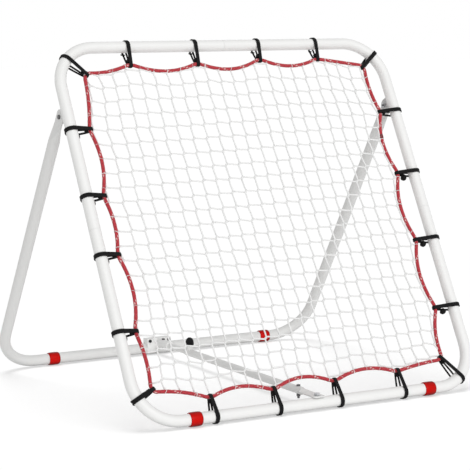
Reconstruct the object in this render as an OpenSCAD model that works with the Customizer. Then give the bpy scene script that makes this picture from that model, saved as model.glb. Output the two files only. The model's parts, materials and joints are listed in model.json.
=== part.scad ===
// Pitch-back rebounder: a leaning net frame, a U-shaped rear leg and a telescopic brace.
// Millimetres. Z is up, the floor is z = 0, and the net faces -Y.
// The origin lies on the floor, midway between the front and the rear tube.

/* [Net frame] */
// Width of the net frame, outside its tubes
frame_w = 1000; // [860:10:1200]
// Height of the net frame along its lean, outside its tubes
frame_h = 1024; // [900:2:1160]
// Lean of the net frame back from upright, in degrees
lean = 28.4; // [24:0.2:33]
// Outside diameter of the frame and leg tubes
tube_d = 30; // [28:1:32]
// Wall of the frame and leg tubes
tube_wall = 1.5; // [1.2:0.1:2]
// Centre-line radius of the bends in the frame and the leg
bend_r = 110; // [90:5:130]
// Length of the narrowed tube ends that plug the side and top tubes together
spigot_len = 45; // [30:1:60]
// Straight length between a lower bend and its joint to the front tube
front_stub = 37; // [30:1:60]

/* [Rear leg] */
// Distance along the floor from the front tube to the rear tube
stance = 882; // [820:2:940]
// Straight length between a leg's bend and its joint to the rear tube
rear_stub = 38; // [34:1:60]
// Height of the leg pivots, measured up the side tubes
pivot_up = 820; // [760:2:860]
// Distance of the leg pivots behind the side tubes' centre line
pivot_back = 35; // [35:0.5:42]
// Thickness of the flattened leg ends
flat_t = 3.5; // [3:0.1:4.5]
// Width of the flattened leg ends
flat_w = 38; // [34:1:38]
// Length of flat below each pivot
flat_len = 30; // [26:1:40]
// Length over which the flat grows back to a round tube
crimp_len = 45; // [35:1:60]

/* [Pivots] */
// Thickness of the welded pivot lugs
lug_t = 4; // [3:0.5:5]
// Width of the welded pivot lugs
lug_w = 34; // [28:1:36]
// Diameter of the pivot bolts
pivot_d = 6; // [5:0.5:8]
// Diameter of the bolt that holds the brace on the front tube
bolt_d = 8; // [6:0.5:9]
// Thickness of the plain washers between lug and leg
washer_t = 1; // [0.8:0.1:1.6]
// Outside diameter of those washers
washer_d = 16; // [14:1:20]

/* [Feet] */
// Outside diameter of the ring feet that cover the tube joints
foot_d = 36; // [35:0.5:40]
// Length of a ring foot
foot_len = 42; // [30:1:50]
// Distance that the left rear ring has crept inwards
rear_foot_left_shift = 20; // [0:1:25]
// Distance that the right rear ring has crept outwards
rear_foot_right_shift = 14; // [0:1:20]

/* [Brace] */
// Outside diameter of the brace's outer tube
outer_d = 20; // [18:0.5:22]
// Outside diameter of the brace's inner tube
inner_d = 16; // [13:0.5:16]
// Wall of both brace tubes
brace_wall = 1.5; // [1:0.1:1.7]
// Length of the inner tube
inner_len = 400; // [340:5:440]
// Distance from the rear tube to the open end of the outer tube
outer_start = 190; // [186:1:220]
// Distance from the front tube to the front end of the outer tube
outer_end = 72; // [60:1:90]
// Distance of the knob from the open end of the outer tube
knob_inset = 17; // [14:1:24]
// Width of the brace's front tongue
tongue_w = 32; // [26:1:36]
// Thickness of the front tongue
tongue_t = 3; // [2:0.5:4]
// Length of the plug that carries the tongue in the outer tube
plug_len = 50; // [40:1:60]
// Diameter of the bolt through the tongue's plug
plug_bolt_d = 6; // [5:0.5:7]

/* [Rear clamp] */
// Width of the clamp on the rear tube
clamp_w = 76; // [70:1:90]
// Thickness of the clamp's rear flange above the tube
clamp_flange = 9; // [7:0.5:10]
// Outside diameter of the clamp's socket for the inner tube
socket_d = 24; // [22:0.5:26]
// Reach of the socket in front of the rear tube
socket_reach = 85; // [76:1:92]
// Diameter of the clamp screws and of the socket's cross screw
screw_d = 5; // [4:0.5:6]

/* [Knob] */
// Diameter of the knob over its lobes
knob_d = 24; // [22:1:28]
// Height of the knob
knob_h = 25; // [18:1:30]
// Number of lobes on the knob
knob_lobes = 6; // [5:1:8]
// Diameter of the knob's threaded stud
stud_d = 8; // [6:0.5:9]
// Height of the threaded boss under the knob
boss_h = 8; // [6:1:10]

/* [Net and ties] */
// Diameter of the red edge rope
rope_d = 8; // [6:0.5:9]
// Reach of the top ties from the tube's centre line to the rope, left to right
top_reach = [51, 52, 44, 46]; // [40:1:70]
// Reach of the bottom ties, left to right
bottom_reach = [49, 49, 51, 56]; // [40:1:70]
// Reach of the left ties, bottom to top
left_reach = [44, 46, 45, 50]; // [40:1:70]
// Reach of the right ties, bottom to top
right_reach = [57, 55, 51, 50]; // [40:1:70]
// Reach of the corner ties, clockwise from the upper left
corner_reach = [61, 50, 68, 46]; // [40:1:72]
// Inward sag of the rope's top spans as a share of their length, left to right
top_sag = [0.06, 0.107, 0.121, 0.115, 0]; // [0:0.01:0.15]
// Inward sag of the rope's bottom spans, left to right
bottom_sag = [0.048, 0.104, 0.125, 0.104, 0.02]; // [0:0.01:0.15]
// Inward sag of the rope's left spans, bottom to top
left_sag = [0.054, 0.096, 0.073, 0.085, 0.03]; // [0:0.01:0.15]
// Inward sag of the rope's right spans, bottom to top
right_sag = [0.077, 0.102, 0.107, 0.112, 0.057]; // [0:0.01:0.15]
// Thickness of the net cord
net_cord = 3; // [2:0.5:4]
// Number of net strands each way
net_strands = 15; // [12:1:15]
// Turn of the corner ties off the diagonal, clockwise from the upper left, in degrees
corner_turn = [2, -6, -11, -21]; // [-25:1:25]
// Ties along each side between its corners
side_ties = 4; // [4:1:4]
// Hand-tied offsets of the top ties, left to right
top_nudge = [10, 11, 6, -9]; // [-35:1:35]
// Hand-tied offsets of the bottom ties, left to right
bottom_nudge = [4, -14, -31, -34]; // [-35:1:35]
// Hand-tied offsets of the left ties, bottom to top
left_nudge = [33, 32, -11, -29]; // [-35:1:35]
// Hand-tied offsets of the right ties, bottom to top
right_nudge = [14, 8, 4, -12]; // [-35:1:35]
// Width of one strand of an elastic tie
tie_w = 5; // [4:0.5:6]
// Thickness of an elastic tie
tie_t = 2.2; // [1.5:0.1:2.5]
// Length of the hitch that draws a tie in beside the rope
hitch_len = 12; // [8:0.5:14]

/* [Hidden] */

$fn = 48;
eps = 1;                                  // overrun of every cutting tool
seam = 0.3;                               // gap between two plugged tube ends
plug_gap = 0.15;                          // radial gap between a spigot and its tube
slip_gap = 0.1;                           // radial running gap of rings, pins and clamp
weld_gap = 0.05;                          // gap of the welded boss round its tube
washer_gap = 0.25;                        // gap on each face of a pivot washer
hole_gap = 0.25;                          // radial gap of a bolt in a plain hole
pivot_play = 1.2;                         // play above and below the tongue at the front bolt
tongue_play = 1.3;                        // radial play of the front bolt in the tongue

tube_r = tube_d / 2;
bore_r = tube_r - tube_wall;
side_x = frame_w / 2 - tube_r;            // centre line of the side tubes
top_b = frame_h - tube_d;                 // top tube above the bottom tube, along the lean
foot_r = foot_d / 2;
axis_z = foot_r;                          // front and rear tube centre lines above the floor
front_y = -stance / 2;
rear_y = stance / 2;
bolt_r = bolt_d / 2;
hex_k = 1 / cos(30);                      // corner radius over half the width across flats
af_k = 1.65;                              // width across flats over the thread
head_k = 0.66;                            // bolt head height over the thread

// leg pivots and the leg's own tilt, from the frame and the stance
pivot_y = front_y + pivot_up * sin(lean) + pivot_back * cos(lean);
pivot_z = axis_z + pivot_up * cos(lean) - pivot_back * sin(lean);
leg_len = norm([rear_y - pivot_y, pivot_z - axis_z]);
leg_tilt = atan2(rear_y - pivot_y, pivot_z - axis_z);
lug_gap = washer_t + 2 * washer_gap;
leg_x = side_x + lug_t / 2 + lug_gap + flat_t / 2;
flat_in = side_x + lug_t / 2 + lug_gap;   // inner face of a flattened leg end
flat_out = flat_in + flat_t;
stub_end = 3;                             // straight length left beyond a spigot in a stub
front_joint_x = side_x - bend_r - front_stub;
rear_joint_x = leg_x - bend_r - rear_stub;

// brace, measured from the rear tube's centre line
outer_r = outer_d / 2;
inner_r = inner_d / 2;
brace_z = tube_r + pivot_play + tongue_t / 2;
socket_r = socket_d / 2;
screw_r = screw_d / 2;
screw_head = 3;
socket_base = tube_r + 2.5;               // blind end of the socket, clear of the rear tube
socket_screw_y = (socket_base + socket_reach) / 2 - 7;
knob_y = outer_start + knob_inset;
outer_len = stance - outer_start - outer_end;
plug_y = stance - outer_end - 16;         // bolt through the tongue's plug
clamp_top = brace_z + socket_r;
clamp_face = foot_r;                      // flat front face of the clamp, from the tube's centre
shell_r = foot_r - 0.6;                   // the shells stay clear of the floor
clamp_screw_x = clamp_w / 2 - 8;
clamp_screw_z = clamp_top - 6;
split = 0.4;                              // gap between the two shells

// rope and net
rope_r = rope_d / 2;
bend_x = side_x - bend_r;                 // centres of the frame's bends
corner_angle = [135, 45, -45, -135];
corner_centre = [[-bend_x, top_b - bend_r], [bend_x, top_b - bend_r], [bend_x, bend_r], [-bend_x, bend_r]];

function side_pos(len, i, nudge) = len * (i + 1) / (side_ties + 1) + nudge[i];
function top_x(i) = -side_x + side_pos(2 * side_x, i, top_nudge);
function bottom_x(i) = -side_x + side_pos(2 * side_x, i, bottom_nudge);
function left_b(i) = side_pos(top_b, i, left_nudge);
function right_b(i) = side_pos(top_b, i, right_nudge);

function corner_at(c, r) = let (a = corner_angle[c] + corner_turn[c]) corner_centre[c] + r * [cos(a), sin(a)];

// knots of the edge rope, clockwise from the upper left corner, as [x, height up the lean]
knots = concat(
    [corner_at(0, bend_r - corner_reach[0])],
    [for (i = [0:side_ties - 1]) [top_x(i), top_b - top_reach[i]]],
    [corner_at(1, bend_r - corner_reach[1])],
    [for (i = [side_ties - 1:-1:0]) [side_x - right_reach[i], right_b(i)]],
    [corner_at(2, bend_r - corner_reach[2])],
    [for (i = [side_ties - 1:-1:0]) [bottom_x(i), bottom_reach[i]]],
    [corner_at(3, bend_r - corner_reach[3])],
    [for (i = [0:side_ties - 1]) [-side_x + left_reach[i], left_b(i)]]);
span_sag = concat(top_sag, [for (i = [side_ties:-1:0]) right_sag[i]],
    [for (i = [side_ties:-1:0]) bottom_sag[i]], left_sag);
span_steps = 6;
rope_sides = 8;
strand_gap = 0.6;                         // gap between the two strands of a tie
tie_gap = 0.4;                            // gap of a tie round its tube and rope
hitch_over = 0.8;                         // how far a hitch stands out over the strands
grip = tie_w + strand_gap + 1.4;          // half the straight length of rope inside each tie

// direction of the rope through each knot
function corner_run(c) = let (a = corner_angle[c] + corner_turn[c]) [sin(a), -cos(a)];
knot_runs = concat(
    [corner_run(0)], [for (i = [1:side_ties]) [1, 0]],
    [corner_run(1)], [for (i = [1:side_ties]) [0, -1]],
    [corner_run(2)], [for (i = [1:side_ties]) [-1, 0]],
    [corner_run(3)], [for (i = [1:side_ties]) [0, 1]]);

function span_point(i, t) = let (k = (i + 1) % len(knots), a = knots[i] + grip * knot_runs[i],
        c = knots[k] - grip * knot_runs[k], d = c - a)
    a + d * t + [d[1], -d[0]] * span_sag[i] * 4 * t * (1 - t);
rope_path = [for (i = [0:len(knots) - 1], j = [0:span_steps]) span_point(i, j / span_steps)];
rope_n = len(rope_path);
function unit(v) = v / norm(v);
function rope_normal(k) = let (d = unit(rope_path[(k + 1) % rope_n] - rope_path[(k + rope_n - 1) % rope_n]))
    [d[1], -d[0]];

// sleeve on the rope, in the second span below the upper right corner
splice_k = (side_ties + 2) * (span_steps + 1) + 2;
splice_r = rope_r + 2;

// rim of the net, beside the rope, clear of the ties and the sleeve
rim_gap = 0.3;
rim_at_rope = rope_r + rim_gap;
rim_at_tie = rope_r + tie_gap + tie_t + rim_gap;
rim_at_splice = splice_r + rim_gap;
function knot_side(i) = let (d = knot_runs[i % len(knots)]) [d[1], -d[0]];
function rim_point(k, d) = let (i = floor(k / (span_steps + 1)), j = k % (span_steps + 1))
    rope_path[k] + (j == 0 ? knot_side(i) * (rim_at_tie + d)
        : j == span_steps ? knot_side(i + 1) * (rim_at_tie + d)
        : rope_normal(k) * ((k == splice_k || k == splice_k + 1 ? rim_at_splice : rim_at_rope) + d));

// ---- shared shapes ----

// places children in the leaning frame: x across, y behind the net, z up the lean
module in_frame() {
    translate([0, front_y, axis_z]) rotate([-lean, 0, 0]) children();
}

// places children on the leg: origin at the pivots, z up the leg
module in_leg() {
    translate([0, pivot_y, pivot_z]) rotate([leg_tilt, 0, 0]) children();
}

// places children on the brace: origin on the rear tube, y towards the rear
module in_brace() {
    translate([0, rear_y, axis_z]) children();
}

// rod with one square bend: runs along +x and -z from a corner at the origin
module bent_rod(run_x, run_z, r) {
    translate([bend_r, 0, -bend_r]) rotate([90, 0, 0]) rotate([0, 0, 90])
        rotate_extrude(angle = 90) translate([bend_r, 0]) circle(r);
    translate([bend_r, 0, 0]) rotate([0, 90, 0]) cylinder(r = r, h = run_x - bend_r);
    translate([0, 0, -bend_r]) mirror([0, 0, 1]) cylinder(r = r, h = run_z - bend_r);
}

// bent tube with a narrowed spigot on either end, if its length is not 0
module bent_tube(run_x, run_z, spigot_x, spigot_z) {
    narrow_r = bore_r - plug_gap;
    difference() {
        union() {
            bent_rod(run_x, run_z, tube_r);
            if (spigot_x > 0) translate([run_x - eps, 0, 0]) rotate([0, 90, 0])
                cylinder(r = narrow_r, h = spigot_x + eps);
            if (spigot_z > 0) translate([0, 0, -run_z - spigot_z])
                cylinder(r = narrow_r, h = spigot_z + eps);
        }
        bent_rod(run_x - (spigot_x > 0 ? tube_wall : -eps),
            run_z - (spigot_z > 0 ? tube_wall : -eps), bore_r);
        if (spigot_x > 0) translate([run_x - 2 * tube_wall, 0, 0]) rotate([0, 90, 0])
            cylinder(r = narrow_r - tube_wall, h = spigot_x + 3 * tube_wall);
        if (spigot_z > 0) translate([0, 0, -run_z - spigot_z - eps])
            cylinder(r = narrow_r - tube_wall, h = spigot_z + 2 * tube_wall + eps);
    }
}

// straight tube along x with a narrowed spigot on both ends
module joined_tube(half, spigot) {
    narrow_r = bore_r - plug_gap;
    rotate([0, 90, 0]) difference() {
        union() {
            cylinder(r = tube_r, h = 2 * half, center = true);
            cylinder(r = narrow_r, h = 2 * (half + spigot), center = true);
        }
        cylinder(r = bore_r, h = 2 * (half - tube_wall), center = true);
        cylinder(r = narrow_r - tube_wall, h = 2 * (half + spigot + eps), center = true);
    }
}

// ring foot around a tube along x
module foot_ring() {
    edge = 1.2;
    in_r = tube_r + slip_gap;
    rotate([0, 90, 0]) rotate_extrude() {
        translate([in_r, -foot_len / 2]) square([foot_r - edge - in_r, foot_len]);
        translate([in_r, edge - foot_len / 2]) square([foot_r - in_r, foot_len - 2 * edge]);
        for (s = [-1, 1]) translate([foot_r - edge, s * (foot_len / 2 - edge)]) circle(edge);
    }
}

// hex bolt along -x, its head's inner face at the origin
module hex_bolt(d, af, head, shank) {
    rotate([0, 90, 0]) cylinder(r = af / 2 * hex_k, h = head, $fn = 6);
    translate([-shank, 0, 0]) rotate([0, 90, 0]) cylinder(r = d / 2, h = shank + eps);
}

// hex nut along x with its bore, from the origin towards -x
module hex_nut(d, af, h) {
    rotate([0, -90, 0]) difference() {
        cylinder(r = af / 2 * hex_k, h = h, $fn = 6);
        translate([0, 0, -eps]) cylinder(r = d / 2 + 0.05, h = h + 2 * eps);
    }
}

// outline of a stretched loop round two circles, the second one at distance dist
module belt_outline(r1, r2, dist) {
    a = acos((r1 - r2) / dist);
    u = 0.97 * [cos(a), sin(a)];
    circle(r1);
    translate([dist, 0]) circle(r2);
    polygon([[r1 * u[0], r1 * u[1]], [dist + r2 * u[0], r2 * u[1]],
        [dist + r2 * u[0], -r2 * u[1]], [r1 * u[0], -r1 * u[1]]]);
}

// one elastic tie: a doubled loop round tube and rope, drawn in by a hitch; x runs to the rope
module tie(reach) {
    r1 = tube_r + tie_gap;
    r2 = rope_r + tie_gap;
    half = tie_w + strand_gap / 2;
    for (s = [-1, 1]) translate([0, 0, s * (tie_w + strand_gap) / 2 - tie_w / 2]) linear_extrude(tie_w)
        difference() {
            belt_outline(r1 + tie_t, r2 + tie_t, reach);
            belt_outline(r1, r2, reach);
        }
    translate([0, 0, -half - hitch_over]) linear_extrude(2 * (half + hitch_over)) intersection() {
        belt_outline(r1 + tie_t + hitch_over, r2 + tie_t + hitch_over, reach);
        translate([reach - r2 - rim_gap - hitch_len, -tube_d]) square([hitch_len, 2 * tube_d]);
    }
}

// the tie at a place on the frame's centre line, its rope end towards dir (degrees from +x)
module tie_at(x, b, dir, reach) {
    in_frame() translate([x, 0, b]) rotate([0, -dir, 0]) tie(reach);
}

// ---- net frame ----

module frame_top(spigot_x) {
    color("whitesmoke") in_frame() translate([-side_x, 0, top_b])
        bent_tube(side_x - seam / 2, top_b / 2 - seam / 2, spigot_x, spigot_len);
}

module frame_bottom() {
    color("whitesmoke") in_frame() translate([-side_x, 0, 0]) mirror([0, 0, 1])
        bent_tube(side_x - front_joint_x - seam / 2, top_b / 2 - seam / 2, 0, 0);
}

module frame_top_left() { frame_top(spigot_len); }
module frame_top_right() { mirror([1, 0, 0]) frame_top(0); }
module frame_bottom_left() { frame_bottom(); }
module frame_bottom_right() { mirror([1, 0, 0]) frame_bottom(); }

module bottom_tube() {
    color("whitesmoke") translate([0, front_y, axis_z]) difference() {
        joined_tube(front_joint_x - seam / 2, front_stub - stub_end);
        cylinder(r = bolt_r + hole_gap, h = tube_r + eps);
    }
}

module front_foot_left() { color("red") translate([-front_joint_x, front_y, axis_z]) foot_ring(); }
module front_foot_right() { color("red") translate([front_joint_x, front_y, axis_z]) foot_ring(); }

module pivot_lug() {
    color("whitesmoke") in_frame() translate([side_x, 0, pivot_up]) difference() {
        translate([lug_t / 2, 0, 0]) rotate([0, -90, 0]) linear_extrude(lug_t) {
            translate([0, pivot_back]) circle(lug_w / 2);
            translate([-lug_w / 2, 0]) square([lug_w, pivot_back]);
        }
        translate([0, 0, -lug_w]) cylinder(r = tube_r, h = 2 * lug_w);
        translate([-lug_t, pivot_back, 0]) rotate([0, 90, 0])
            cylinder(r = pivot_d / 2 + hole_gap, h = 2 * lug_t);
    }
}
module pivot_lug_right() { pivot_lug(); }
module pivot_lug_left() { mirror([1, 0, 0]) pivot_lug(); }

module pivot_bolt() {
    color("gray") translate([flat_out + washer_gap, pivot_y, pivot_z])
        hex_bolt(pivot_d, af_k * pivot_d, head_k * pivot_d, flat_t + lug_gap + lug_t + pivot_d + 2.5);
}
module pivot_bolt_right() { pivot_bolt(); }
module pivot_bolt_left() { mirror([1, 0, 0]) pivot_bolt(); }

module pivot_nut() {
    color("gray") translate([side_x - lug_t / 2, pivot_y, pivot_z]) hex_nut(pivot_d, af_k * pivot_d, pivot_d);
}
module pivot_nut_right() { pivot_nut(); }
module pivot_nut_left() { mirror([1, 0, 0]) pivot_nut(); }

module pivot_washers() {
    color("gainsboro") for (s = [0, 1]) mirror([s, 0, 0])
        translate([side_x + lug_t / 2 + washer_gap, pivot_y, pivot_z]) rotate([0, 90, 0]) difference() {
            cylinder(d = washer_d, h = washer_t);
            translate([0, 0, -eps]) cylinder(r = pivot_d / 2 + hole_gap, h = washer_t + 2 * eps);
        }
}

module front_bolt() {
    color("dimgray") translate([0, front_y, axis_z + tube_r + tongue_t + 2 * pivot_play]) rotate([0, -90, 0])
        hex_bolt(bolt_d, af_k * bolt_d, head_k * bolt_d, tongue_t + 2 * pivot_play + tube_r / 2 + 3);
}

// blind nut pressed against the tube's inner wall
module front_nut() {
    top = sqrt(pow(bore_r - 0.2, 2) - pow(af_k * bolt_d / 2 * hex_k, 2));
    color("dimgray") translate([0, front_y, axis_z + top]) rotate([0, -90, 0])
        hex_nut(bolt_d, af_k * bolt_d, 0.8 * bolt_d);
}

// ---- net, rope and ties ----

// the square openings of the mesh, over the whole frame
module mesh_cells() {
    inset = min(concat(top_reach, bottom_reach, left_reach, right_reach));
    left = -side_x + inset;
    pitch_x = -2 * left / net_strands;
    pitch_b = (top_b - 2 * inset) / net_strands;
    c = net_cord / 2;
    function line_x(i) = left + (i - 0.5) * pitch_x;
    function line_b(j) = inset + (j - 0.5) * pitch_b;
    cells = [for (i = [0:net_strands], j = [0:net_strands])
        let (x0 = line_x(i) + c, x1 = line_x(i + 1) - c, b0 = line_b(j) + c, b1 = line_b(j + 1) - c)
        [[x0, b0], [x1, b0], [x1, b1], [x0, b1]]];
    polygon([for (q = cells, p = q) p], paths = [for (k = [0:len(cells) - 1]) [for (m = [0:3]) 4 * k + m]]);
}

// area inside the net's rim, drawn in further by d
module inside_rim(d) { polygon([for (k = [0:rope_n - 1]) rim_point(k, d)]); }

module net() {
    color("white") in_frame() rotate([90, 0, 0]) translate([0, 0, -net_cord / 2]) linear_extrude(net_cord)
        difference() {
            inside_rim(0);
            intersection() {
                mesh_cells();
                inside_rim(net_cord);
            }
        }
}

module edge_rope() {
    points = [for (k = [0:rope_n - 1], j = [0:rope_sides - 1])
        let (a = 360 * j / rope_sides, m = rope_path[k] + rope_normal(k) * rope_r * cos(a))
        [m[0], rope_r * sin(a), m[1]]];
    faces = [for (k = [0:rope_n - 1], j = [0:rope_sides - 1])
        let (k1 = (k + 1) % rope_n, j1 = (j + 1) % rope_sides,
            p = k * rope_sides + j, q = k * rope_sides + j1,
            r = k1 * rope_sides + j1, s = k1 * rope_sides + j)
        each [[p, r, q], [p, s, r]]];
    color("red") in_frame() polyhedron(points, faces);
}

// shrink sleeve over the rope's joint
module rope_splice() {
    d = rope_path[splice_k + 1] - rope_path[splice_k];
    p = (rope_path[splice_k + 1] + rope_path[splice_k]) / 2;
    color("darkred") in_frame() translate([p[0], 0, p[1]]) rotate([0, atan2(d[0], d[1]), 0]) difference() {
        cylinder(r = splice_r, h = 20, center = true);
        cylinder(r = rope_r + slip_gap, h = 22, center = true);
    }
}

module ties_top() {
    color("black") for (i = [0:side_ties - 1]) tie_at(top_x(i), top_b, -90, top_reach[i]);
}
module ties_bottom() {
    color("black") for (i = [0:side_ties - 1]) tie_at(bottom_x(i), 0, 90, bottom_reach[i]);
}
module ties_left() {
    color("black") for (i = [0:side_ties - 1]) tie_at(-side_x, left_b(i), 0, left_reach[i]);
}
module ties_right() {
    color("black") for (i = [0:side_ties - 1]) tie_at(side_x, right_b(i), 180, right_reach[i]);
}
module ties_corner() {
    color("black") for (c = [0:3]) let (p = corner_at(c, bend_r))
        tie_at(p[0], p[1], corner_angle[c] + corner_turn[c] + 180, corner_reach[c]);
}

// ---- rear leg ----

module leg() {
    color("whitesmoke") in_leg() difference() {
        union() {
            translate([-leg_x, 0, -leg_len]) mirror([0, 0, 1]) difference() {
                bent_rod(leg_x - rear_joint_x - seam / 2, leg_len - flat_len - crimp_len, tube_r);
                bent_rod(leg_x - rear_joint_x + eps, leg_len - flat_len - crimp_len - tube_wall, bore_r);
            }
            translate([-leg_x, 0, -flat_len]) hull() {
                cube([flat_t, flat_w, 1], center = true);
                translate([0, 0, -crimp_len]) cylinder(r = tube_r, h = 1, $fn = 32);
            }
            translate([-leg_x - flat_t / 2, 0, 0]) rotate([90, 0, 90]) linear_extrude(flat_t) {
                circle(flat_w / 2);
                translate([-flat_w / 2, -flat_len]) square([flat_w, flat_len]);
            }
        }
        translate([-leg_x - tube_r, 0, 0]) rotate([0, 90, 0])
            cylinder(r = pivot_d / 2 + slip_gap, h = tube_d);
    }
}
module leg_left() { leg(); }
module leg_right() { mirror([1, 0, 0]) leg(); }

module rear_tube() {
    color("whitesmoke") in_brace() joined_tube(rear_joint_x - seam / 2, rear_stub - stub_end);
}
module rear_foot_left() {
    color("red") in_brace() translate([-rear_joint_x + rear_foot_left_shift, 0, 0]) foot_ring();
}
module rear_foot_right() {
    color("red") in_brace() translate([rear_joint_x + rear_foot_right_shift, 0, 0]) foot_ring();
}

// ---- rear clamp and inner tube ----

// profile of one clamp shell round the rear tube: depth towards +x here, height towards +y
module shell_profile(depth) {
    difference() {
        union() {
            intersection() {
                circle(shell_r);
                translate([0, -shell_r]) square([shell_r, 2 * shell_r]);
            }
            square([depth, clamp_top]);
        }
        circle(tube_r + slip_gap);
        translate([-eps, -foot_r]) square([eps + split / 2, foot_r + clamp_top + eps]);
    }
}

module clamp_holes() {
    for (x = [-1, 1]) translate([x * clamp_screw_x, foot_d, clamp_screw_z]) rotate([90, 0, 0])
        cylinder(r = screw_r + hole_gap, h = 2 * foot_d);
}

module clamp_front() {
    color("lightgray") in_brace() difference() {
        union() {
            translate([clamp_w / 2, 0, 0]) rotate([90, 0, -90])
                linear_extrude(clamp_w) shell_profile(clamp_face);
            translate([0, -tube_r, brace_z]) rotate([90, 0, 0])
                cylinder(r = socket_r, h = socket_reach - tube_r);
        }
        translate([0, -socket_base, brace_z]) rotate([90, 0, 0])
            cylinder(r = inner_r + slip_gap, h = socket_reach);
        translate([0, -socket_screw_y, 0]) cylinder(r = screw_r + hole_gap, h = clamp_top + eps);
        clamp_holes();
    }
}

module clamp_rear() {
    color("lightgray") in_brace() difference() {
        translate([-clamp_w / 2, 0, 0]) rotate([90, 0, 90])
            linear_extrude(clamp_w) shell_profile(clamp_flange);
        clamp_holes();
    }
}

module clamp_screws() {
    color("dimgray") in_brace() for (x = [-1, 1]) translate([x * clamp_screw_x, -clamp_face, clamp_screw_z])
        rotate([90, 0, 0]) {
            cylinder(r = 1.8 * screw_r, h = screw_head);
            translate([0, 0, -clamp_face - clamp_flange - screw_d])
                cylinder(r = screw_r, h = clamp_face + clamp_flange + screw_d + eps);
        }
}

module clamp_nuts() {
    color("dimgray") in_brace() for (x = [-1, 1]) translate([x * clamp_screw_x, clamp_flange, clamp_screw_z])
        rotate([0, 0, -90]) hex_nut(screw_d, 1.6 * screw_d, 0.8 * screw_d);
}

module inner_tube() {
    color("silver") in_brace() translate([0, -socket_base - 0.5, brace_z]) rotate([90, 0, 0]) difference() {
        cylinder(r = inner_r, h = inner_len);
        translate([0, 0, -eps]) cylinder(r = inner_r - brace_wall, h = inner_len + 2 * eps);
        translate([0, 0, socket_screw_y - socket_base - 0.5]) rotate([90, 0, 0])
            cylinder(r = screw_r + hole_gap, h = inner_d, center = true);
    }
}

module socket_screw() {
    color("dimgray") in_brace() translate([0, -socket_screw_y, clamp_top]) {
        cylinder(r = 1.8 * screw_r, h = screw_head);
        translate([0, 0, -socket_d - screw_d]) cylinder(r = screw_r, h = socket_d + screw_d + eps);
    }
}

module socket_nut() {
    color("dimgray") in_brace() translate([0, -socket_screw_y, brace_z - socket_r]) rotate([0, -90, 0])
        hex_nut(screw_d, 1.6 * screw_d, 0.8 * screw_d);
}

// ---- outer tube, tongue and knob ----

module outer_tube() {
    color("whitesmoke") in_brace() translate([0, -outer_start, brace_z]) rotate([90, 0, 0]) difference() {
        cylinder(r = outer_r, h = outer_len);
        translate([0, 0, -eps]) cylinder(r = outer_r - brace_wall, h = outer_len + 2 * eps);
        translate([0, 0, knob_inset]) rotate([-90, 0, 0]) cylinder(r = stud_d / 2 + slip_gap, h = outer_d);
        translate([0, 0, plug_y - outer_start]) rotate([90, 0, 0])
            cylinder(r = plug_bolt_d / 2 + hole_gap, h = outer_d + eps, center = true);
    }
}

module knob_boss() {
    color("whitesmoke") in_brace() translate([0, -knob_y, brace_z]) difference() {
        cylinder(d = 2.2 * stud_d, h = outer_r + boss_h);
        translate([0, stud_d * 2, 0]) rotate([90, 0, 0]) cylinder(r = outer_r + weld_gap, h = stud_d * 4);
        cylinder(r = stud_d / 2 + slip_gap, h = outer_r + boss_h + eps);
    }
}

module clamp_knob() {
    lobe_r = 0.17 * knob_d;
    waist = knob_d / 2 - lobe_r;
    base = outer_r + boss_h + 0.3;
    color("black") in_brace() translate([0, -knob_y, brace_z]) {
        translate([0, 0, inner_r + slip_gap]) cylinder(d = stud_d, h = base - inner_r + 2);
        translate([0, 0, base]) intersection() {
            linear_extrude(knob_h) {
                circle(waist);
                for (i = [0:knob_lobes - 1]) rotate(i * 360 / knob_lobes) translate([waist, 0]) circle(lobe_r);
            }
            rotate_extrude() polygon([[0, 0], [0.36 * knob_d, 0], [0.4 * knob_d, 0.2 * knob_h],
                [knob_d / 2, 0.34 * knob_h], [knob_d / 2, 0.84 * knob_h], [0.42 * knob_d, knob_h], [0, knob_h]]);
        }
    }
}

module brace_tongue() {
    plug_r = outer_r - brace_wall - plug_gap;
    nose = 14;
    soft = 5;
    root = outer_end - 12;
    color("gainsboro") translate([0, front_y, axis_z + brace_z]) difference() {
        union() {
            translate([0, 0, -tongue_t / 2]) linear_extrude(tongue_t) {
                translate([-tongue_w / 2, soft - nose]) square([tongue_w, root + nose - soft]);
                translate([soft - tongue_w / 2, -nose]) square([tongue_w - 2 * soft, nose]);
                for (s = [-1, 1]) translate([s * (tongue_w / 2 - soft), soft - nose]) circle(soft);
            }
            hull() {
                translate([0, root, 0]) cube([tongue_w, 1, tongue_t], center = true);
                translate([0, outer_end - 1, 0]) rotate([90, 0, 0]) cylinder(r = plug_r, h = 1, $fn = 32);
            }
            translate([0, outer_end + plug_len, 0]) rotate([90, 0, 0]) cylinder(r = plug_r, h = plug_len + 1.5);
        }
        translate([0, 0, -tongue_t]) cylinder(r = bolt_r + tongue_play, h = 2 * tongue_t);
        translate([0, stance - plug_y, 0]) cylinder(r = plug_bolt_d / 2 + hole_gap, h = outer_d, center = true);
    }
}

module plug_bolt() {
    color("black") in_brace() translate([0, -plug_y, brace_z + outer_r]) rotate([0, -90, 0])
        hex_bolt(plug_bolt_d, 1.6 * plug_bolt_d, 0.6 * plug_bolt_d, outer_d + 1.9 * plug_bolt_d);
}

module plug_nut() {
    color("black") in_brace() translate([0, -plug_y, brace_z - outer_r]) rotate([0, -90, 0])
        hex_nut(plug_bolt_d, 1.6 * plug_bolt_d, plug_bolt_d);
}

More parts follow.
